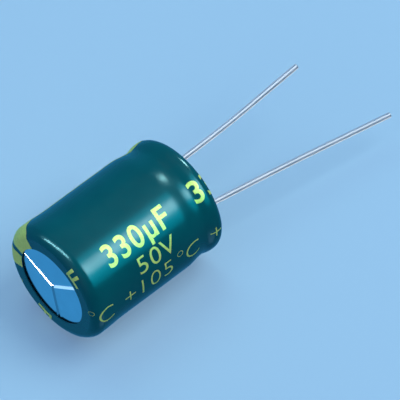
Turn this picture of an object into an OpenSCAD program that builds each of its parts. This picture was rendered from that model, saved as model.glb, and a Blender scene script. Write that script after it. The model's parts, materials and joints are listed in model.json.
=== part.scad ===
// Radial aluminium electrolytic capacitor, standing on its vent end with its leads up.
// Millimetres. The origin is the middle of the sleeve's rim at the vent end, +Z runs along the
// axis towards the leads, and the leads leave the seal on the X axis, the anode lead at +X.

/* [Can] */
// Outside diameter of the aluminium can
can_d = 12.86; // [12.6:0.02:13.6]
// Height over the sleeve, from the vent end to the lead end
body_h = 17.7; // [17:0.1:22]
// Thickness of the can's wall
can_wall = 0.3; // [0.2:0.05:0.4]
// Thickness of the can's bottom
can_floor = 0.4; // [0.35:0.05:0.6]
// Outside radius of the can's bottom corner
can_corner = 0.95; // [0.8:0.05:1.3]
// Outside radius of the curled edge over the seal
curl_r = 0.85; // [0.7:0.05:1]
// How far the curled edge reaches in from the crown over the seal
curl_reach = 1.15; // [1.05:0.05:1.35]

/* [Vent] */
// Distance of the dished panel's edge from the can's wall
panel_edge = 1.68; // [1.4:0.02:1.8]
// Depth of the dished panel
panel_dish = 0.05; // [0.05:0.05:0.15]
// Number of score lines in the vent
score_count = 3; // [2:1:4]
// Width of a score line at the surface
score_w = 0.4; // [0.2:0.02:0.5]
// Distance of a score line's end from the dished panel's edge
score_stop = 0.15; // [0.1:0.05:1]
// Direction of the first score line, in degrees from +X
score_turn = 50; // [0:5:115]

/* [Crimp bead] */
// Distance of the crimp bead's centre below the lead end
bead_drop = 2.5; // [2.3:0.1:2.7]
// Depth of the crimp bead in the can
bead_depth = 0.75; // [0.6:0.05:0.85]
// Length of the bead's slope on the body side
bead_body_side = 2.2; // [1.8:0.1:2.4]
// Length of the bead's slope on the lead side
bead_lead_side = 1.3; // [1.1:0.1:1.4]
// How far the crown above the bead stands inside the body's outline
crown_step = 0.02; // [0:0.01:0.1]

/* [Sleeve] */
// Thickness of the shrink sleeve
sleeve_wall = 0.1; // [0.08:0.01:0.12]
// Gap between the sleeve and the can
sleeve_gap = 0.02; // [0.01:0.01:0.04]
// Depth of the sleeve's dip over the crimp bead
sleeve_dip = 0.26; // [0.2:0.02:0.4]
// Height of the swelling where the film gathers above the vent end
sleeve_swell = 0.1; // [0:0.01:0.12]
// Distance of the swelling above the vent end
swell_up = 1.3; // [1.25:0.05:1.6]
// Half length of the swelling
swell_half = 0.95; // [0.8:0.05:1]
// How far the film reaches in over the vent end from the can's wall
vent_lip = 1.96; // [1.8:0.02:2.1]
// How far the film reaches past the curled edge at the lead end
lead_lip = 0.3; // [0.1:0.05:0.5]

/* [Seal] */
// Thickness of the rubber seal at its edge
seal_h = 3.7; // [3.5:0.1:4]
// Gap between the seal and the can
seal_gap = 0.02; // [0.01:0.01:0.04]
// How far the seal's middle rises into the curled edge
seal_rise = 0.2; // [0.1:0.05:0.25]
// Gap between the seal and a terminal in its bore
bore_gap = 0.02; // [0.01:0.01:0.04]
// Depth of the countersink around a lead
sink_h = 0.3; // [0.2:0.05:0.4]

/* [Leads] */
// Distance between the two leads at the seal
pitch = 5; // [4.6:0.1:5.4]
// Diameter of the tinned lead wire
wire_d = 0.6; // [0.5:0.05:0.7]
// Bend of the anode lead where it leaves the seal, in degrees
anode_bend = 8.6; // [0.5:0.1:20]
// Length of the anode lead from that bend to its next one
anode_first = 11.25; // [5:0.05:15]
// Slight second bend of the anode lead, in degrees
anode_bow = 1.1; // [0.5:0.1:5]
// Length of the anode lead beyond the second bend
anode_last = 13.25; // [5:0.05:20]
// Bend of the cathode lead where it leaves the seal, in degrees
cathode_bend = 1.1; // [0.5:0.1:20]
// Length of the cathode lead from that bend to its next one
cathode_first = 9.15; // [5:0.05:12]
// Slight second bend of the cathode lead, in degrees
cathode_bow = 2.5; // [0.5:0.1:5]
// Length of the cathode lead beyond the second bend
cathode_last = 9.8; // [5:0.1:15]
// How far the wire swells at a bend
knuckle = 0.006; // [0.004:0.001:0.01]

/* [Terminals] */
// Diameter of the aluminium rod in the seal
rod_d = 1.5; // [1.2:0.1:1.8]
// How far the rod's top lies below the seal's face
rod_drop = 1.1; // [0.9:0.1:1.4]
// Height of the weld between the rod and the wire
weld_h = 0.3; // [0.2:0.05:0.5]
// Width of the rod's shoulder around the weld
weld_step = 0.2; // [0.1:0.05:0.3]
// Thickness of the flat paddle
paddle_t = 0.25; // [0.2:0.05:0.4]
// Width of the flat paddle
paddle_w = 2.2; // [1.6:0.1:2.4]
// Length of the paddle inside the winding
paddle_l = 8; // [6:0.5:9]

/* [Winding] */
// Gap between the taped winding and the can's wall
roll_play = 0.33; // [0.2:0.01:0.5]
// Gap between the winding and the can's floor
roll_seat = 0.1; // [0.05:0.05:0.2]
// Gap between the winding and the seal
roll_room = 1.2; // [1:0.1:1.5]
// Diameter of the hole that the winding spindle leaves
core_d = 1.8; // [1.4:0.1:2.2]
// Number of turns marked by the raised paper edges
turns = 6; // [3:1:8]
// Height of the raised paper edges
turn_h = 0.25; // [0.1:0.05:0.4]
// Thickness of the tape around the winding
tape_t = 0.1; // [0.06:0.02:0.12]
// Share of the winding's height that the tape covers
tape_share = 0.7; // [0.4:0.05:0.9]

/* [Hidden] */
$fn = 96;
arc_steps = 8;
bead_steps = 20;
swell_steps = 10;
turn_steps = 24;
cut = 1;
slot_gap = 0.05;
tab_lap = 0.1;

can_r = can_d / 2;
crown_r = can_r - crown_step;
curl_mouth_r = crown_r - curl_reach;
panel_r = can_r - panel_edge;
score_l = panel_r - score_stop;
score_side = score_w / sqrt(2);
vent_rim_r = can_r - vent_lip;
lead_rim_r = curl_mouth_r - lead_lip;
bead_z = body_h - bead_drop;
bead_from = bead_z - bead_body_side;
bead_to = bead_z + bead_lead_side;
skin = sleeve_gap + sleeve_wall;
can_foot = skin;
can_top = body_h - skin;
panel_z = can_foot + panel_dish;
floor_z = panel_z + can_floor;

seal_top = can_top - can_wall - seal_gap;
seal_foot = seal_top - seal_h;
seal_face = seal_top + seal_rise;
seal_face_r = curl_mouth_r - seal_gap - can_wall / 2;

wire_r = wire_d / 2;
rod_r = rod_d / 2;
rod_top = seal_face - rod_drop;
weld_r = rod_r - weld_step;
lead_x = pitch / 2;

roll_r = can_r - can_wall - roll_play - tape_t;
roll_foot = floor_z + roll_seat;
roll_top = seal_foot - roll_room;
roll_h = roll_top - roll_foot;
core_r = core_d / 2;
turn_pitch = (roll_r - core_r) / (turns + 1);
turn_w = turn_pitch / 2;

// How far the outline stands inside the body at height z, for a bead of the given depth
function dip(z) = let (half = z < bead_z ? bead_body_side : bead_lead_side)
    abs(z - bead_z) < half ? (1 + cos(180 * (z - bead_z) / half)) / 2 : 0;
function inset(z, depth) =
    z < bead_z ? depth * dip(z) : crown_step + (depth - crown_step) * dip(z);

// How far the film swells out at height z
function swell(z) = abs(z - swell_up) < swell_half
    ? sleeve_swell * (1 + cos(180 * (z - swell_up) / swell_half)) / 2 : 0;

// Evenly spaced values from a to b, both included
function steps(a, b, n) = [for (i = [0:n]) a + (b - a) * i / n];

// Points of an arc in the radius and height plane
function arc(r, z, radius, from, to) =
    [for (a = steps(from, to, arc_steps)) [r + radius * cos(a), z + radius * sin(a)]];

// Outline of the beaded side at a distance out from the can's wall
function side(out, depth) =
    [for (z = steps(bead_from, bead_to, bead_steps)) [can_r + out - inset(z, depth), z]];

// Outline from the middle of the can's bottom up to its opening, moved by a distance out
function shell(out, depth, foot, mouth_r) = let (
        low = can_corner + out,
        high = curl_r + out,
        top = can_top + out)
    concat(arc(can_r - can_corner, foot + low, low, -90, 0),
        side(out, depth),
        arc(crown_r - curl_r, top - high, high, 0, 90),
        [[mouth_r, top]]);

function reversed(points) = [for (i = [len(points) - 1:-1:0]) points[i]];

// The film's outer skin, with the swelling above the vent end
function film_skin() = let (low = can_corner + skin)
    concat([for (p = arc(can_r - can_corner, low, low, -90, 0)) [p[0] + swell(p[1]), p[1]]],
        [for (z = steps(low, swell_up + swell_half, swell_steps))
            if (z > low) [can_r + skin + swell(z), z]],
        side(skin, sleeve_dip),
        arc(crown_r - curl_r, body_h - curl_r - skin, curl_r + skin, 0, 90),
        [[lead_rim_r, body_h]]);

module sleeve() {
    color([0, 0.33, 0.34])
        rotate_extrude()
            polygon(concat([[vent_rim_r, 0]], film_skin(),
                reversed(shell(sleeve_gap, sleeve_dip, sleeve_wall, lead_rim_r)),
                [[vent_rim_r, sleeve_wall]]));
}

// One V-shaped score line, cut from the panel's face
module score() {
    translate([0, 0, panel_z])
        rotate([45, 0, 0])
            translate([-score_w / 4, -score_side / 2, -score_side / 2])
                cube([score_l, score_side, score_side]);
}

module can() {
    outer = shell(0, bead_depth, can_foot, curl_mouth_r + can_wall / 2);
    inner = shell(-can_wall, bead_depth, floor_z, curl_mouth_r + can_wall / 2);
    color([0.75, 0.77, 0.8])
        difference() {
            union() {
                rotate_extrude()
                    polygon(concat([[0, can_foot]], outer, reversed(inner), [[0, floor_z]]));
                translate([0, 0, can_top - can_wall / 2])
                    rotate_extrude()
                        translate([curl_mouth_r + can_wall / 2, 0])
                            circle(d = can_wall);
            }
            translate([0, 0, can_foot - cut])
                cylinder(h = cut + panel_dish, r = panel_r);
            for (i = [0:score_count - 1])
                rotate([0, 0, score_turn + 360 * i / score_count]) score();
        }
}

// Bore for one terminal: wide for the rod and its weld, narrow for the wire
module terminal_bore() {
    translate([0, 0, seal_foot - cut])
        cylinder(h = rod_top + weld_h + bore_gap - seal_foot + cut, r = rod_r + bore_gap);
    translate([0, 0, seal_foot])
        cylinder(h = seal_h + seal_rise + cut, r = wire_r + bore_gap);
    translate([0, 0, seal_face - sink_h])
        cylinder(h = sink_h, r1 = wire_r + bore_gap, r2 = wire_r + bore_gap + sink_h);
}

module end_seal() {
    fit = can_wall + seal_gap;
    seat_to = can_top - curl_r;
    waist = [for (z = steps(max(seal_foot, bead_from), min(bead_to, seat_to), bead_steps))
        [can_r - fit - inset(z, bead_depth), z]];
    crown = arc(crown_r - curl_r, seat_to, curl_r - fit, 0, 90);
    color([0.13, 0.13, 0.14])
        difference() {
            rotate_extrude()
                polygon(concat([[0, seal_foot]], waist, crown,
                    [[seal_face_r + seal_rise, seal_top], [seal_face_r, seal_face],
                     [0, seal_face]]));
            for (x = [-lead_x, lead_x]) translate([x, 0, 0]) terminal_bore();
        }
}

// A slight kink of the wire towards -X, and what follows it
module bend(angle) {
    sphere(r = wire_r + knuckle);
    rotate([0, -angle, 0]) children();
}

// A lead from its weld, through the seal and two slight bends towards -X, to its plain cut end
module lead_wire(bend_angle, first, bow_angle, last) {
    color([0.82, 0.84, 0.86]) {
        translate([0, 0, rod_top])
            cylinder(h = weld_h, r1 = weld_r, r2 = wire_r);
        translate([0, 0, rod_top + weld_h])
            cylinder(h = seal_face - rod_top - weld_h, r = wire_r);
        translate([0, 0, seal_face])
            bend(bend_angle) {
                cylinder(h = first, r = wire_r);
                translate([0, 0, first])
                    bend(bow_angle)
                        cylinder(h = last, r = wire_r);
            }
    }
}

module anode_wire() {
    translate([lead_x, 0, 0])
        rotate([0, 0, 180])
            lead_wire(anode_bend, anode_first, anode_bow, anode_last);
}

module cathode_wire() {
    translate([-lead_x, 0, 0])
        lead_wire(cathode_bend, cathode_first, cathode_bow, cathode_last);
}

// A terminal: a round rod in the seal, flattened to a paddle that reaches into the winding
module tab() {
    paddle_top = seal_foot - roll_room / 2;
    paddle_foot = roll_top - paddle_l;
    neck = rod_r - paddle_t / 2;
    color([0.7, 0.72, 0.75]) {
        translate([0, 0, seal_foot])
            cylinder(h = rod_top - seal_foot, r = rod_r);
        intersection() {
            translate([0, 0, paddle_top])
                cylinder(h = seal_foot + tab_lap - paddle_top, r = rod_r);
            rotate([90, 0, 0])
                linear_extrude(height = rod_d + tab_lap, center = true)
                    polygon([[-paddle_t / 2, paddle_top], [paddle_t / 2, paddle_top],
                        [rod_r + tab_lap, seal_foot], [rod_r + tab_lap, seal_foot + tab_lap],
                        [-rod_r - tab_lap, seal_foot + tab_lap], [-rod_r - tab_lap, seal_foot]]);
        }
        translate([-paddle_t / 2, 0, 0])
            rotate([90, 0, 90])
                linear_extrude(height = paddle_t)
                    polygon([[-neck, paddle_top + tab_lap], [-neck, paddle_top],
                        [-paddle_w / 2, roll_top], [-paddle_w / 2, paddle_foot],
                        [paddle_w / 2, paddle_foot], [paddle_w / 2, roll_top],
                        [neck, paddle_top], [neck, paddle_top + tab_lap]]);
    }
}

module anode_tab() {
    translate([lead_x, 0, 0]) tab();
}

module cathode_tab() {
    translate([-lead_x, 0, 0]) tab();
}

// Slot in which a paddle lies between two turns
module paddle_slot() {
    depth = paddle_l + slot_gap;
    translate([-paddle_t / 2 - slot_gap, -paddle_w / 2 - slot_gap, roll_top - depth])
        cube([paddle_t + 2 * slot_gap, paddle_w + 2 * slot_gap, depth + cut]);
}

// Flat spiral band that runs from the spindle hole to the outermost turn
module spiral_band() {
    inner = [for (i = [0:turns * turn_steps])
        let (a = 360 * i / turn_steps, r = core_r + turn_pitch * (0.5 + i / turn_steps))
            r * [cos(a), sin(a)]];
    outer = [for (i = [0:turns * turn_steps])
        let (a = 360 * i / turn_steps, r = core_r + turn_pitch * (0.5 + i / turn_steps) + turn_w)
            r * [cos(a), sin(a)]];
    polygon(concat(inner, reversed(outer)));
}

module winding() {
    color([0.87, 0.83, 0.72])
        difference() {
            union() {
                translate([0, 0, roll_foot + turn_h])
                    cylinder(h = roll_h - 2 * turn_h, r = roll_r);
                translate([0, 0, roll_foot])
                    linear_extrude(height = roll_h) spiral_band();
            }
            translate([0, 0, roll_foot - cut])
                cylinder(h = roll_h + 2 * cut, r = core_r);
            for (x = [-lead_x, lead_x]) translate([x, 0, 0]) paddle_slot();
        }
}

module winding_tape() {
    tape_h = roll_h * tape_share;
    color([0.93, 0.9, 0.8])
        translate([0, 0, roll_foot + (roll_h - tape_h) / 2])
            difference() {
                cylinder(h = tape_h, r = roll_r + tape_t);
                translate([0, 0, -cut]) cylinder(h = tape_h + 2 * cut, r = roll_r);
            }
}

sleeve();
can();
end_seal();
anode_wire();
cathode_wire();
anode_tab();
cathode_tab();
winding();
winding_tape();
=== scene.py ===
"""Dresses the capacitor: printed shrink film, can with scored vent, tinned leads, and a pale studio."""

import json
import math
from contextlib import contextmanager

import bmesh
import bpy
import numpy as np
from mathutils import Matrix, Vector

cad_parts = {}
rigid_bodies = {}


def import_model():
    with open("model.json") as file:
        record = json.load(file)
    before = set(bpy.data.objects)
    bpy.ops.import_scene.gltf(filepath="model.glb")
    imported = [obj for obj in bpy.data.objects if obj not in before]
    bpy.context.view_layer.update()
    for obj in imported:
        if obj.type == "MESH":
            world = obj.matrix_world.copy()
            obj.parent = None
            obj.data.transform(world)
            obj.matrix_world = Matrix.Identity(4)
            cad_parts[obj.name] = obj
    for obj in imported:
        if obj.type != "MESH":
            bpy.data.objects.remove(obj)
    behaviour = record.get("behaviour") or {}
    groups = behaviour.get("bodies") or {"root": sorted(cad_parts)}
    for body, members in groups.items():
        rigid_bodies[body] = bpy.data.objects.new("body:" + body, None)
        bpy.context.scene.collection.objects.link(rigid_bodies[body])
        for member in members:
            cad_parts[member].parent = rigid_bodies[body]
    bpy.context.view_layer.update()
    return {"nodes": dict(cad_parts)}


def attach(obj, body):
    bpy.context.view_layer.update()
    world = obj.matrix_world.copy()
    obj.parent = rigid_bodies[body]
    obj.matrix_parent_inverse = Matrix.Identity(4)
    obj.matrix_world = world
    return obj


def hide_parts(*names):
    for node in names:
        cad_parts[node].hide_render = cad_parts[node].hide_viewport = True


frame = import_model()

MM = 0.001

# Sizes of the CAD, in millimetres, where SKIN is the film with the gap under it
CAN_R, WALL, FLOOR = 6.43, 0.3, 0.4
BODY_H, SKIN, FILM = 17.7, 0.12, 0.1
CORNER, CURL, CROWN_STEP, CURL_REACH = 0.95, 0.85, 0.02, 1.15
BEAD_Z, BEAD_BELOW, BEAD_ABOVE, BEAD_DEPTH, FILM_DIP = 15.2, 2.2, 1.3, 0.75, 0.26
SWELL, SWELL_Z, SWELL_BELOW, SWELL_ABOVE = 0.1, 1.3, 0.95, 3.2
VENT_RIM, LEAD_RIM = 4.47, 4.96
PANEL_R, PANEL_Z, PANEL_DISH = 4.75, 0.17, 0.05
SCORE_W, SCORE_TURN = 0.4, 50
SEAL_FACE, PITCH, WIRE_R = 17.46, 5.0, 0.3

FILM_R = CAN_R + SKIN
CROWN_R = CAN_R - CROWN_STEP
MOUTH_R = CROWN_R - CURL_REACH


# Outlines

# How far the film's lip at the vent turns up, which only this script shows
LIP_RISE = 0.036
# A height on the plain wall, where places along the film's outline equal the height
PLAIN_Z = 8.0
# Width over which the ripple fades out at the lip, and the film's least height above the floor
RIPPLE_FADE, LEAST_Z = 0.5, 0.016


def bell(z, middle, below, above):
    """A smooth rise from 0 to 1 and back again round a height."""
    x = (z - middle) / (below if z < middle else above)
    return (1 + math.cos(math.pi * x)) / 2 if abs(x) < 1 else 0.0


def inset(z, depth):
    """How far a wall lies inside its radius, for a bead of that depth and the crown's step above it."""
    step = 0.0 if z < BEAD_Z else CROWN_STEP
    return step + (depth - step) * bell(z, BEAD_Z, BEAD_BELOW, BEAD_ABOVE)


def swell(z):
    """How far the film stands out where it gathers above the vent end."""
    return SWELL * bell(z, SWELL_Z, SWELL_BELOW, SWELL_ABOVE)


def arc(r, z, radius, start, end, n):
    """Points of an arc in the radius and height plane, in degrees."""
    return [
        (r + radius * math.cos(math.radians(a)), z + radius * math.sin(math.radians(a)))
        for a in np.linspace(start, end, n)
    ]


def film_outline():
    """The film's outer skin from the vent rim to the lead rim, as (radius, height)."""
    low, high = CORNER + SKIN, CURL + SKIN
    foot, plain, bead = CAN_R - CORNER, SWELL_Z + SWELL_ABOVE, BEAD_Z - BEAD_BELOW
    # The lip shrinks a little way up to the vent panel past the edge of the can's foot
    up = PANEL_R - VENT_RIM
    pts = [(VENT_RIM + up * u, LIP_RISE * (1 - u) ** 2) for u in np.linspace(0, 1, 7)[:-1]]
    pts += [(r, 0.0) for r in np.linspace(PANEL_R, foot, 6)[:-1]]
    pts += [(r + swell(z), z) for r, z in arc(foot, low, low, -90, 0, 26)]
    pts += [(FILM_R + swell(z), z) for z in np.linspace(low, plain, 40)[1:]]
    pts += [(FILM_R, z) for z in np.linspace(plain + 0.3, bead, 22)]
    pts += [(FILM_R - inset(z, FILM_DIP), z) for z in np.linspace(bead, BEAD_Z + BEAD_ABOVE, 46)[1:]]
    pts += arc(CROWN_R - CURL, BODY_H - high, high, 0, 90, 22)
    pts += [(r, BODY_H) for r in np.linspace(CROWN_R - CURL, LEAD_RIM, 5)[1:]]
    return np.array(pts)


OUTLINE = film_outline()
ALONG = np.concatenate([[0], np.cumsum(np.hypot(*np.diff(OUTLINE, axis=0).T))])
ALONG += PLAIN_Z - np.interp(PLAIN_Z, OUTLINE[:, 1], ALONG)
TANGENT = np.gradient(OUTLINE, ALONG, axis=0)
TANGENT /= np.hypot(*TANGENT.T)[:, None]


def ripple(a, along):
    """How far the shrunk film stands off its plain form, by angle and place along the outline."""
    rim = np.exp(-(((along + 0.9) / 0.9) ** 2))
    low = np.exp(-(((along - 1.2) / 0.9) ** 2))
    neck = np.exp(-(((along - BEAD_Z) / 1.6) ** 2))
    t = np.radians(a)
    return (
        0.010 * np.sin(2 * t + 0.4) * np.sin(along * 0.9)
        + rim * (0.018 * np.sin(3 * t + 0.8) + 0.010 * np.sin(7 * t + 2.1))
        + low * 0.012 * np.sin(5 * t + 0.3)
        + neck * (0.012 * np.sin(4 * t + 1.1) + 0.008 * np.sin(9 * t))
    )


def on_film(a, along, lift=0.0):
    """Points and normals on the film at angles a and places along its outline.

    Angles are in degrees and run from +X towards -Y.
    """
    a, along = np.broadcast_arrays(np.asarray(a, float), np.asarray(along, float))
    r, z = (np.interp(along, ALONG, OUTLINE[:, i]) for i in (0, 1))
    tr, tz = (np.interp(along, ALONG, TANGENT[:, i]) for i in (0, 1))
    n = np.hypot(tr, tz)
    nr, nz = tz / n, -tr / n
    off = ripple(a, along) * np.clip((along - ALONG[0]) / RIPPLE_FADE, 0, 1)
    # The rim stays a hair above the floor, so that the ink on it does too
    r, z = r + nr * (off + lift), np.maximum(z + nz * off, LEAST_Z) + nz * lift
    c, s = np.cos(np.radians(a)), -np.sin(np.radians(a))
    return np.stack([r * c, r * s, z], -1), np.stack([nr * c, nr * s, nz], -1)


# Meshes

# How far in from a wire's cut end its rounding starts, and the end face's share of the radius
END_ROUND, END_SHARE = 0.05, 0.86


def add(name, verts, faces, mat, stands_for=()):
    """A smooth piece of the part from points in millimetres."""
    mesh = bpy.data.meshes.new(name)
    mesh.from_pydata([tuple(v * MM for v in p) for p in verts], [], faces)
    mesh.update()
    obj = bpy.data.objects.new(name, mesh)
    bpy.context.scene.collection.objects.link(obj)
    mesh.polygons.foreach_set("use_smooth", [True] * len(mesh.polygons))
    mesh.materials.append(mat)
    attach(obj, "root")
    if stands_for:
        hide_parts(*stands_for)
    return obj


@contextmanager
def editing(obj):
    """The mesh of an object as a bmesh, which is written back at the end."""
    bm = bmesh.new()
    bm.from_mesh(obj.data)
    yield bm
    bm.to_mesh(obj.data)
    bm.free()


def sharpen(obj, degrees):
    """Splits the shading at edges sharper than that."""
    with editing(obj) as bm:
        for edge in bm.edges:
            if len(edge.link_faces) == 2 and edge.calc_face_angle(0) > math.radians(degrees):
                edge.smooth = False


def ring_faces(rows, n, closed=False):
    """Faces between rings of n points each, and from the last ring to the first where closed."""
    faces = []
    for i in range(rows if closed else rows - 1):
        j = (i + 1) % rows
        for k in range(n):
            m = (k + 1) % n
            faces.append((i * n + k, i * n + m, j * n + m, j * n + k))
    return faces


def revolved(outline, n):
    """The points of (radius, height) pairs turned round the axis, ring after ring."""
    t = np.linspace(0, 2 * math.pi, n, endpoint=False)
    return [(r * math.cos(a), r * math.sin(a), z) for r, z in outline for a in t]


def turned(name, outline, n, mat, stands_for=()):
    """A mesh of revolution, with the outside on its outline's right and a flat cap at the last point."""
    cap = tuple(range((len(outline) - 1) * n, len(outline) * n))
    faces = ring_faces(len(outline), n) + [cap]
    sharpen(add(name, revolved(outline, n), faces, mat, stands_for), 38)


def tube(name, path, radius, mat, stands_for=(), n=28):
    """A round wire along a path of points in the XZ plane, with slightly rounded cut ends."""
    path = np.array(path, float)
    along = np.gradient(path, axis=0)
    along /= np.linalg.norm(along, axis=1)[:, None]
    side = np.array([0.0, 1.0, 0.0])
    t = np.linspace(0, 2 * math.pi, n, endpoint=False)
    # Centre, direction and share of the radius of each ring
    rings = [(path[0], along[0], END_SHARE), (path[0] + along[0] * END_ROUND, along[0], 1.0)]
    rings += [(p, d, 1.0) for p, d in zip(path[1:-1], along[1:-1])]
    rings += [(path[-1] - along[-1] * END_ROUND, along[-1], 1.0), (path[-1], along[-1], END_SHARE)]
    verts = []
    for centre, d, share in rings:
        other = np.cross(d, side)
        verts += [centre + radius * share * (math.cos(a) * other + math.sin(a) * side) for a in t]
    faces = ring_faces(len(rings), n)
    faces.append(tuple(range(n))[::-1])
    faces.append(tuple(range((len(rings) - 1) * n, len(rings) * n)))
    obj = add(name, verts, faces, mat, stands_for)
    with editing(obj) as bm:
        bmesh.ops.recalc_face_normals(bm, faces=bm.faces)
    sharpen(obj, 38)


# Materials


def material(name):
    mat = bpy.data.materials.new(name)
    mat.use_nodes = True
    return mat, mat.node_tree, mat.node_tree.nodes["Principled BSDF"]


def noise(tree, scale, detail, stretch=(1, 1, 1)):
    """A noise texture in object space, stretched along the axes."""
    coord = tree.nodes.new("ShaderNodeTexCoord")
    mapping = tree.nodes.new("ShaderNodeMapping")
    mapping.inputs["Scale"].default_value = stretch
    tree.links.new(coord.outputs["Object"], mapping.inputs["Vector"])
    tex = tree.nodes.new("ShaderNodeTexNoise")
    tex.inputs["Scale"].default_value = scale
    tex.inputs["Detail"].default_value = detail
    tree.links.new(mapping.outputs["Vector"], tex.inputs["Vector"])
    return tex.outputs["Fac"]


def spread(tree, value, low, high, start=0.3, end=0.7):
    """A value from low to high as another goes from start to end."""
    m = tree.nodes.new("ShaderNodeMapRange")
    m.inputs["From Min"].default_value = start
    m.inputs["From Max"].default_value = end
    m.inputs["To Min"].default_value = low
    m.inputs["To Max"].default_value = high
    tree.links.new(value, m.inputs["Value"])
    return m.outputs["Result"]


def mottle(tree, shader, texture, first, second):
    """Lets the base colour go from the first colour to the second with a texture."""
    mix = tree.nodes.new("ShaderNodeMix")
    mix.data_type = "RGBA"
    mix.inputs["A"].default_value = (*first, 1)
    mix.inputs["B"].default_value = (*second, 1)
    tree.links.new(spread(tree, texture, 0, 1), mix.inputs["Factor"])
    tree.links.new(mix.outputs["Result"], shader.inputs["Base Color"])


def roughen(tree, shader, texture, low, high):
    """Lets the roughness go from low to high with a texture."""
    tree.links.new(spread(tree, texture, low, high), shader.inputs["Roughness"])


def bump(tree, shader, texture, distance, strength):
    node = tree.nodes.new("ShaderNodeBump")
    node.inputs["Strength"].default_value = strength
    node.inputs["Distance"].default_value = distance
    tree.links.new(texture, node.inputs["Height"])
    tree.links.new(node.outputs["Normal"], shader.inputs["Normal"])


def film_material():
    mat, tree, shader = material("shrink_film")
    mottle(tree, shader, noise(tree, 260, 3), (0.0, 0.053, 0.061), (0.0, 0.063, 0.071))
    roughen(tree, shader, noise(tree, 900, 4), 0.17, 0.23)
    shader.inputs["IOR"].default_value = 1.5
    shader.inputs["Specular IOR Level"].default_value = 0.32
    bump(tree, shader, noise(tree, 420, 2), 0.000012, 0.5)
    return mat


def ink_material():
    mat, tree, shader = material("gold_ink")
    mottle(tree, shader, noise(tree, 5200, 3), (0.61, 0.51, 0.09), (0.78, 0.655, 0.16))
    shader.inputs["Metallic"].default_value = 0.5
    shader.inputs["Specular IOR Level"].default_value = 0.3
    shader.inputs["Roughness"].default_value = 0.5
    return mat


def aluminium_material(name, colour, low, high):
    mat, tree, shader = material(name)
    mottle(tree, shader, noise(tree, 500, 3), tuple(c * 0.93 for c in colour), colour)
    shader.inputs["Metallic"].default_value = 1.0
    fine = noise(tree, 1100, 3)
    roughen(tree, shader, fine, low, high)
    bump(tree, shader, fine, 0.000002, 0.3)
    return mat


def tin_material():
    mat, tree, shader = material("tinned_wire")
    fine = noise(tree, 3000, 4, (1, 1, 0.05))
    mottle(tree, shader, fine, (0.52, 0.51, 0.5), (0.64, 0.63, 0.62))
    shader.inputs["Metallic"].default_value = 1.0
    roughen(tree, shader, fine, 0.4, 0.5)
    bump(tree, shader, fine, 0.000004, 0.4)
    return mat


def rubber_material():
    mat, tree, shader = material("seal_rubber")
    grain = noise(tree, 2200, 5)
    mottle(tree, shader, grain, (0.022, 0.022, 0.024), (0.036, 0.036, 0.038))
    roughen(tree, shader, grain, 0.5, 0.66)
    bump(tree, shader, grain, 0.00002, 0.5)
    return mat


def paper_material(name, first, second, roughness):
    mat, tree, shader = material(name)
    fibre = noise(tree, 1500, 6, (1, 1, 0.3))
    mottle(tree, shader, fibre, first, second)
    shader.inputs["Roughness"].default_value = roughness
    bump(tree, shader, fibre, 0.00002, 0.4)
    return mat


FILM_MAT = film_material()
INK = ink_material()
CAN_MAT = aluminium_material("drawn_aluminium", (0.84, 0.86, 0.89), 0.11, 0.17)
TIN = tin_material()
INSIDE = {
    "end_seal": rubber_material(),
    "anode_tab": aluminium_material("etched_aluminium", (0.7, 0.71, 0.73), 0.4, 0.55),
    "winding": paper_material("winding_paper", (0.6, 0.54, 0.39), (0.72, 0.66, 0.5), 0.7),
    "winding_tape": paper_material("tape_film", (0.74, 0.7, 0.56), (0.8, 0.76, 0.62), 0.3),
}
INSIDE["cathode_tab"] = INSIDE["anode_tab"]
for name, mat in INSIDE.items():
    node = frame["nodes"][name]
    node.data.materials.clear()
    node.data.materials.append(mat)


# Film


def film():
    n = 288
    a = np.linspace(0, 360, n, endpoint=False)
    outer, _ = on_film(a[None, :], ALONG[:, None])
    # The inner skin follows at the film's thickness, with fewer rows where it can't be seen
    keep = [i for i in range(len(ALONG)) if i < 10 or i > len(ALONG) - 5 or i % 5 == 0]
    inner, _ = on_film(a[None, :], ALONG[keep][:, None], -FILM)
    rows = np.concatenate([outer, inner[::-1]])
    # Angles run clockwise seen from above, so the faces are turned round
    faces = [f[::-1] for f in ring_faces(len(rows), n, closed=True)]
    sharpen(add("sleeve_film", rows.reshape(-1, 3), faces, FILM_MAT, ["sleeve"]), 50)


# Can

# Slope of the score's groove, and the height and width of the ridges beside it
GROOVE_SLOPE, RIDGE_H, RIDGE_W = 0.95, 0.014, 0.06
# Slopes of the panel's three sectors, and the distance from the score at which they hold in full
SECTOR_SLOPES, SLOPE_FROM = ((-0.006, 0.010), (0.012, -0.004), (0.004, 0.012)), 0.5


def shell(out, foot):
    """Points from the corner of the can's bottom up to the opening, moved by a distance out."""
    low, high, top = CORNER + out, CURL + out, BODY_H - SKIN + out
    side = np.linspace(BEAD_Z - BEAD_BELOW, BEAD_Z + BEAD_ABOVE, 40)
    pts = arc(CAN_R - CORNER, foot + low, low, -90, 0, 10)
    pts += [(CAN_R + out - inset(z, BEAD_DEPTH), z) for z in side]
    return pts + arc(CROWN_R - CURL, top - high, high, 0, 90, 10)


def can():
    top, inside = BODY_H - SKIN, PANEL_Z + FLOOR
    outline = [(PANEL_R, PANEL_Z), (PANEL_R + 0.02, SKIN + 0.02), (PANEL_R + 0.05, SKIN)]
    outline += shell(0, SKIN)
    outline += arc(MOUTH_R + WALL / 2, top - WALL / 2, WALL / 2, 90, 270, 9)
    outline += shell(-WALL, inside)[::-1] + [(1.0, inside)]
    turned("can_shell", outline, 128, CAN_MAT, ["can"])


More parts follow.
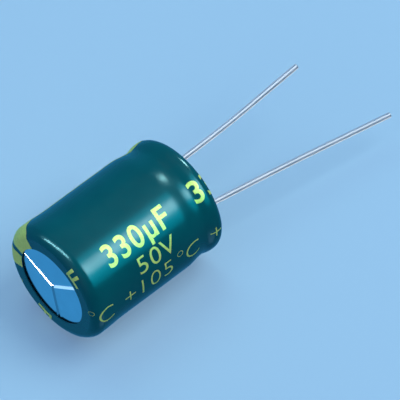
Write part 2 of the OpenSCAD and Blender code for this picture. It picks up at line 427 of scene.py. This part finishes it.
def vent_height(x, y, d, sector):
    """Height of the vent panel at distance d from the nearest score line."""
    z = PANEL_Z - PANEL_DISH * (1 - (x * x + y * y) / PANEL_R**2)
    ease = min(1.0, d / SLOPE_FROM)
    slope_x, slope_y = SECTOR_SLOPES[sector]
    z += (slope_x * x + slope_y * y) * ease * ease * (3 - 2 * ease)
    half = SCORE_W / 2
    z += max(0.0, half - d) * GROOVE_SLOPE
    return z - RIDGE_H * math.exp(-(((d - half - RIDGE_W) / RIDGE_W) ** 2))


def vent_panel():
    """The scored bottom: three arms, each with a half wedge of the disc on both sides."""
    half = math.radians(60)
    # Distances of the rows of points from an arm, closest together at its groove
    near = [0, 0.035, 0.07, 0.105, 0.13, 0.15, 0.175, 0.2, 0.23, 0.27, 0.32, 0.4, 0.5, 0.65, 0.85]
    rows = near + list(np.linspace(1.1, PANEL_R * math.sin(half) * 0.999, 18))
    cols = 56
    verts, faces = [], []
    for arm in range(3):
        turn = math.radians(SCORE_TURN + 120 * arm)
        for side in (1, -1):
            sector = (arm if side == 1 else arm - 1) % 3
            base = len(verts)
            for d in rows:
                start, end = d / math.tan(half), math.sqrt(PANEL_R**2 - d * d)
                for u in np.linspace(0, 1, cols):
                    s = start + (end - start) * u
                    x = s * math.cos(turn) - side * d * math.sin(turn)
                    y = s * math.sin(turn) + side * d * math.cos(turn)
                    verts.append((x, y, vent_height(x, y, d, sector)))
            for i in range(len(rows) - 1):
                for j in range(cols - 1):
                    q = base + i * cols + j
                    f = (q, q + cols, q + cols + 1, q + 1)
                    faces.append(f if side == 1 else f[::-1])
    panel = add("vent_panel", verts, faces, CAN_MAT)
    with editing(panel) as bm:
        bmesh.ops.remove_doubles(bm, verts=bm.verts, dist=2e-6)
    sharpen(panel, 40)


# Leads

# For each lead its side, the bend at the seal and the length after it, and the same for the second bend
LEADS = {
    "anode": (1, 8.6, 11.25, 1.1, 13.25),
    "cathode": (-1, 1.1, 9.15, 2.5, 9.8),
}
# Length of a lead in the seal, and how far each side of its two bends the curve starts
ROOT, CUTS = 0.75, (0.3, 3.0)


def straight(path, end):
    """Adds points to a path on its way to the next place, with the last one some way before it."""
    while (end - path[-1]).length > 1.6:
        path.append(path[-1] + (end - path[-1]).normalized() * 1.2)


def lead_path(side, first_bend, first, second_bend, last):
    """Centre line of a lead: up through the seal, a bend at its face and a second slight bend."""
    x = side * PITCH / 2
    points = [Vector((x, 0, SEAL_FACE - ROOT)), Vector((x, 0, SEAL_FACE))]
    angle = 0
    for bend, length in ((first_bend, first), (second_bend, last)):
        angle += bend
        step = Vector((side * math.sin(math.radians(angle)), 0, math.cos(math.radians(angle))))
        points.append(points[-1] + step * length)
    path = [points[0]]
    for before, corner, after, cut in zip(points, points[1:], points[2:], CUTS):
        a = corner + (before - corner).normalized() * cut
        b = corner + (after - corner).normalized() * cut
        straight(path, a)
        path += [a * (1 - t) ** 2 + corner * 2 * t * (1 - t) + b * t * t for t in np.linspace(0, 1, 9)]
    straight(path, points[3])
    return path + [points[3]]


def leads():
    for pole, bends in LEADS.items():
        tube("lead_" + pole, lead_path(*bends), WIRE_R, TIN, [pole + "_wire"])


# Print

# Height of the ink above the film, and the least gap between a glyph and the film's edges
INK_LIFT, INK_EDGE = 0.014, 0.05
# Distance at which the rows repeat along the film
PERIOD = 11.75
# Text, lowest angle, height, glyph width, pitch, start along the film, weight
ROWS = (
    ("330µF", 70.8, 2.48, 1.45, 1.75, 3.6, 0.017),
    ("50V", 48.0, 1.9, 1.3, 1.7, 6.4, -0.004),
    ("+105°C", 25.8, 1.9, 1.3, 1.7, 4.1, -0.018),
)
# Angle of the stripe's first edge at the vent end, on the wall and at the lead end, and of its far edge
VENT_EDGE, WALL_EDGE, LEAD_EDGE, FAR_EDGE = 158.0, 173.0, 169.0, 222.5
# Angles of the minus signs' sides, and the signs' places along the film
DASH_FROM, DASH_TO = 193.0, 200.5
DASH_SHIFT, DASH_PITCH, DASH_LENGTH = 1.7, 5.85, 3.7


def flat_text(text, weight):
    """A mesh of text in Blender's own font, and its points."""
    curve = bpy.data.curves.new("glyph", "FONT")
    curve.body, curve.size, curve.offset, curve.resolution_u = text, 1.0, weight, 8
    obj = bpy.data.objects.new("glyph", curve)
    bpy.context.scene.collection.objects.link(obj)
    shown = obj.evaluated_get(bpy.context.evaluated_depsgraph_get())
    mesh = bpy.data.meshes.new_from_object(shown)
    bpy.data.objects.remove(obj)
    bpy.data.curves.remove(curve)
    return mesh, np.array([v.co[:] for v in mesh.vertices])


def glyph(char, height, width, weight):
    """Points and faces of one glyph, height and width being those of a nought."""
    mesh, nought = flat_text("0", weight)
    bpy.data.meshes.remove(mesh)
    mesh, pts = flat_text(char, weight)
    bm = bmesh.new()
    bm.from_mesh(mesh)
    bpy.data.meshes.remove(mesh)
    grow, widen = height / np.ptp(nought[:, 1]), width / np.ptp(nought[:, 0])
    middle, foot = (pts[:, 0].min() + pts[:, 0].max()) / 2, nought[:, 1].min()
    for v in bm.verts:
        v.co.x = (v.co.x - middle) * widen + width / 2
        v.co.y = (v.co.y - foot) * grow
    # Cuts across and along let the flat faces follow the film
    lo = [min(v.co[i] for v in bm.verts) for i in (0, 1)]
    hi = [max(v.co[i] for v in bm.verts) for i in (0, 1)]
    for axis, step, normal in ((0, 0.16, Vector((1, 0, 0))), (1, 0.3, Vector((0, 1, 0)))):
        for at in np.arange(lo[axis] + step, hi[axis], step):
            whole = bm.verts[:] + bm.edges[:] + bm.faces[:]
            bmesh.ops.bisect_plane(bm, geom=whole, plane_co=normal * at, plane_no=normal, dist=1e-5)
    bmesh.ops.remove_doubles(bm, verts=bm.verts, dist=1e-4)
    bm.verts.index_update()
    pts = np.array([v.co[:2] for v in bm.verts])
    faces = [tuple(v.index for v in f.verts) for f in bm.faces if f.calc_area() > 1e-7]
    bm.free()
    return pts, faces


def ink(name, verts, normals, faces):
    """A skin of ink, shaded by the normals of the film under it."""
    obj = add(name, verts, faces, INK)
    obj.data.normals_split_custom_set_from_vertices([tuple(n) for n in normals])
    obj.data.update()


def text_block(name, turn):
    """The rows of print, turned round the can by an angle in degrees."""
    verts, normals, faces = [], [], []
    for text, low, height, width, pitch, start, weight in ROWS:
        for i, char in enumerate(text):
            pts, tris = glyph(char, height, width, weight)
            for copy in (-1, 0, 1):
                first = start + i * pitch + copy * PERIOD
                if first < ALONG[0] + INK_EDGE or first + width > ALONG[-1] - INK_EDGE:
                    continue
                a = turn + low + np.degrees(pts[:, 1] / FILM_R)
                p, n = on_film(a, first + pts[:, 0], INK_LIFT)
                base = len(verts)
                verts += list(p)
                normals += list(n)
                faces += [tuple(base + k for k in f) for f in tris]
    ink(name, verts, normals, faces)


def stripe():
    """The polarity stripe with its minus signs, on the cathode's side."""
    # Rows along the film are further apart on the plain wall
    start, wall, end = ALONG[0] + 0.02, (2.6, 12.8), ALONG[-1] - 0.02
    along = np.concatenate(
        [np.arange(start, wall[0], 0.12), np.arange(*wall, 0.4), np.arange(wall[1], end, 0.12)]
    )
    edge = VENT_EDGE + (WALL_EDGE - VENT_EDGE) * np.clip((along - 0.2) / 2.2, 0, 1)
    edge += (LEAD_EDGE - WALL_EDGE) * np.clip((along - 12.5) / 1.5, 0, 1)
    before = edge[:, None] + (DASH_FROM - edge[:, None]) * np.linspace(0, 1, 14)
    after = np.broadcast_to(np.linspace(DASH_TO, FAR_EDGE, 11), (len(along), 11))
    grid = np.concatenate([before, after], axis=1)
    p, n = on_film(grid, along[:, None], INK_LIFT)
    rows, wide = grid.shape
    gap = before.shape[1] - 1
    faces = []
    for i in range(rows - 1):
        s = (along[i] + along[i + 1]) / 2
        for j in range(wide - 1):
            if j == gap and (s + DASH_SHIFT) % DASH_PITCH < DASH_LENGTH:
                continue
            q = i * wide + j
            faces.append((q, q + wide, q + wide + 1, q + 1))
    ink("film_stripe", p.reshape(-1, 3), n.reshape(-1, 3), faces)


film()
can()
vent_panel()
leads()
text_block("film_print_front", 0)
text_block("film_print_back", 205)
stripe()


# Camera

# Angle of the photograph's view below the level, and how far right and up the axis runs in it
TILT, ACROSS, UPWARD = math.radians(24.3), 0.804, 0.595
# Point in the middle of the picture, along the axis and along X, in millimetres
AIM_ALONG, AIM_SIDE = 17.06, 1.85
# Distance of the camera in metres, and the lens that fits it
AWAY, LENS = 0.57, 514.3

TO_CAMERA = Vector((0, -math.cos(TILT), -math.sin(TILT)))
AXIS = Vector((0, -math.sin(TILT), math.cos(TILT)))
SIDE = Vector((1, 0, 0))
RIGHT = ACROSS * AXIS + UPWARD * SIDE
UP = UPWARD * AXIS - ACROSS * SIDE

cam = bpy.data.objects.new("camera", bpy.data.cameras.new("camera"))
bpy.context.scene.collection.objects.link(cam)
target = (AIM_ALONG * AXIS + AIM_SIDE * SIDE) * MM
turn = Matrix((RIGHT.normalized(), UP.normalized(), TO_CAMERA)).transposed()
cam.matrix_world = Matrix.Translation(target + TO_CAMERA * AWAY) @ turn.to_4x4()
cam.data.sensor_width = 36
cam.data.lens = LENS
cam.data.clip_start, cam.data.clip_end = 0.01, 20
bpy.context.scene.camera = cam


# Stage

PALE = (0.38, 0.58, 0.80)
# Distances in metres between which the stage's own light grows
GLOW_NEAR, GLOW_FAR = 0.05, 0.6
# The floor's flat part and the sweep up into its wall, in metres
FLAT_R, SWEEP_R = 0.7, 0.5
# Direction of the sheet behind the part, its distance in millimetres, and half its side in metres
BACK, BACK_AWAY, BACK_HALF = Vector((0.468, 0.884, 0)).normalized(), 6.68, 0.25


def placed(at, towards):
    """A place for a flat thing that faces a direction with its local Z axis."""
    return Matrix.Translation(at) @ towards.to_track_quat("Z", "Y").to_matrix().to_4x4()


def one_sided(name, matt, glow, far_glow):
    """A pale surface that is only there from its front, partly lit by itself so that it stays even."""
    mat, tree, shader = material(name)
    shader.inputs["Base Color"].default_value = (*(c * matt for c in PALE), 1)
    shader.inputs["Roughness"].default_value = 0.8
    shader.inputs["Specular IOR Level"].default_value = 0.1
    shader.inputs["Emission Color"].default_value = (*PALE, 1)
    coord = tree.nodes.new("ShaderNodeTexCoord")
    length = tree.nodes.new("ShaderNodeVectorMath")
    length.operation = "LENGTH"
    tree.links.new(coord.outputs["Object"], length.inputs[0])
    strength = spread(tree, length.outputs["Value"], glow, far_glow, GLOW_NEAR, GLOW_FAR)
    tree.links.new(strength, shader.inputs["Emission Strength"])
    clear = tree.nodes.new("ShaderNodeBsdfTransparent")
    mix = tree.nodes.new("ShaderNodeMixShader")
    side = tree.nodes.new("ShaderNodeNewGeometry")
    tree.links.new(side.outputs["Backfacing"], mix.inputs["Fac"])
    tree.links.new(shader.outputs["BSDF"], mix.inputs[1])
    tree.links.new(clear.outputs["BSDF"], mix.inputs[2])
    tree.links.new(mix.outputs["Shader"], tree.nodes["Material Output"].inputs["Surface"])
    return mat


def staged(name, verts, faces, mat):
    """A surface of the stage, which isn't seen in reflections."""
    mesh = bpy.data.meshes.new(name)
    mesh.from_pydata(verts, [], faces)
    mesh.polygons.foreach_set("use_smooth", [True] * len(mesh.polygons))
    mesh.materials.append(mat)
    obj = bpy.data.objects.new(name, mesh)
    bpy.context.scene.collection.objects.link(obj)
    obj.visible_shadow = obj.visible_diffuse = obj.visible_glossy = False
    return obj


def round_floor():
    """A floor that sweeps up into a wall far out on every side."""
    outline = [(r, 0.0) for r in (0.02, 0.1, 0.3, 0.6)]
    sweep = np.linspace(0, math.pi / 2, 13)
    outline += [(FLAT_R + SWEEP_R * math.sin(a), SWEEP_R - SWEEP_R * math.cos(a)) for a in sweep]
    outline += [(FLAT_R + SWEEP_R, z) for z in (0.9, 1.4)]
    n = 72
    verts = [(0, 0, 0)] + revolved(outline, n)
    faces = [(0, 1 + k, 1 + (k + 1) % n) for k in range(n)]
    faces += [tuple(i + 1 for i in f)[::-1] for f in ring_faces(len(outline), n)]
    floor = staged("floor", verts, faces, one_sided("floor", 0.58, 0.5, 0.95))
    floor.visible_transmission = False


def backdrop():
    """The sheet that the part leans on behind, as it lies on one in the photograph."""
    corners = [(x * BACK_HALF, y * BACK_HALF, 0) for x, y in ((-1, -1), (1, -1), (1, 1), (-1, 1))]
    sheet = staged("backdrop", corners, [(0, 1, 2, 3)], one_sided("backdrop", 0.48, 0.32, 0.75))
    sheet.matrix_world = placed(BACK * BACK_AWAY * MM, -BACK)


round_floor()
backdrop()

world = bpy.data.worlds.new("studio")
bpy.context.scene.world = world
world.use_nodes = True
tree = world.node_tree
sky = tree.nodes["Background"]
sky.inputs["Color"].default_value = (0.05, 0.34, 0.74, 1)
# The room is darker on the side away from the window
coord, axes = tree.nodes.new("ShaderNodeTexCoord"), tree.nodes.new("ShaderNodeSeparateXYZ")
tree.links.new(coord.outputs["Generated"], axes.inputs["Vector"])
tree.links.new(spread(tree, axes.outputs["X"], 0.9, 0.5, -0.2, 0.75), sky.inputs["Strength"])


# Lights

# The point that the lights are turned to
MIDDLE = Vector((0, 0, 9)) * MM


def softbox(name, direction, distance, size, power, colour=(1, 1, 1), beam=180):
    """A light box turned to the part, with a beam in degrees that is darker towards its edges."""
    light = bpy.data.lights.new(name, "AREA")
    light.shape, (light.size, light.size_y) = "RECTANGLE", size
    light.energy, light.color, light.spread = power, colour, math.radians(beam)
    obj = bpy.data.objects.new(name, light)
    bpy.context.scene.collection.objects.link(obj)
    away = Vector(direction).normalized()
    obj.matrix_world = placed(MIDDLE + away * distance, away)
    obj.visible_camera = False
    return obj


def named(name, *starts):
    """A collection of the objects whose names start so."""
    pieces = bpy.data.collections.new(name)
    for obj in bpy.context.scene.objects:
        if obj.name.startswith(starts):
            pieces.objects.link(obj)
    return pieces


FILM_PIECES = named("film_pieces", "sleeve_film", "film_")
VENT_PIECES = named("vent_pieces", "can_shell", "vent_panel")
LEAD_PIECES = named("lead_pieces", "lead_")

# Broad lights for the shading: name, direction, distance, size, power and colour
SHADING = (
    ("key", (-0.10, -0.88, 0.45), 0.5, (0.36, 0.3), 2.2, (0.9, 1.0, 0.9)),
    ("window", (-0.80, -0.55, 0.2), 0.5, (0.25, 0.25), 0.8, (0.7, 1.0, 0.82)),
    ("low", (0.0, -0.42, -0.9), 0.5, (0.5, 0.4), 1.1),
    ("fill", (0.92, 0.25, 0.3), 0.6, (0.6, 0.5), 0.8, (0.5, 0.88, 1.0)),
)
# Narrow lights for the highlights: the pieces, then the same values, and the beam where it is narrow
HIGHLIGHTS = (
    (FILM_PIECES, "sheen", (0.17, -0.89, 0.366), 0.5, (0.18, 0.325), 0.115, (0.68, 0.78, 0.76), 42),
    (FILM_PIECES, "halo", (0.26, -0.91, 0.40), 0.2, (0.21, 0.12), 0.135, (0.0, 0.66, 0.88), 70),
    (FILM_PIECES, "side", (-0.668, -0.455, -0.59), 0.5, (0.5, 0.05), 3.8, (0.36, 0.9, 1.0)),
    (FILM_PIECES, "top", (-0.46, -0.43, 0.77), 0.5, (0.09, 0.09), 1.5, (0.45, 0.96, 1.0)),
    (FILM_PIECES, "rim", (0.9, 0.35, 0.0), 0.6, (0.3, 0.25), 0.2, (0.3, 0.65, 1.0)),
    (VENT_PIECES, "glint", (-0.227, -0.375, -0.897), 0.5, (0.09, 0.09), 0.3),
    (VENT_PIECES, "gleam", (-0.68, 0.66, -0.31), 0.5, (0.2, 0.2), 0.09, (0.6, 0.85, 1.0)),
    (LEAD_PIECES, "strip", (-0.28, -0.87, 0.41), 0.5, (0.5, 0.2), 0.9, (0.97, 1.0, 0.97)),
    (LEAD_PIECES, "strip_front", (0.1, -0.98, -0.1), 0.5, (0.3, 0.2), 0.5),
    (LEAD_PIECES, "strip_right", (0.9, -0.35, -0.3), 0.5, (0.3, 0.25), 0.7),
    (LEAD_PIECES, "strip_back", (-0.5, 0.8, -0.25), 0.5, (0.3, 0.25), 0.7),
    (LEAD_PIECES, "edge_left", (-0.8, 0.42, 0.41), 0.5, (0.3, 0.3), 0.3),
    (LEAD_PIECES, "edge_right", (0.82, 0.4, 0.41), 0.5, (0.3, 0.3), 0.6),
)

for values in SHADING:
    softbox(*values).visible_glossy = False
for pieces, *values in HIGHLIGHTS:
    # Each is kept to its pieces, as by a flag in front of a lamp
    light = softbox(*values)
    light.visible_diffuse = False
    light.light_linking.receiver_collection = pieces

bpy.context.scene.view_settings.view_transform = "Standard"
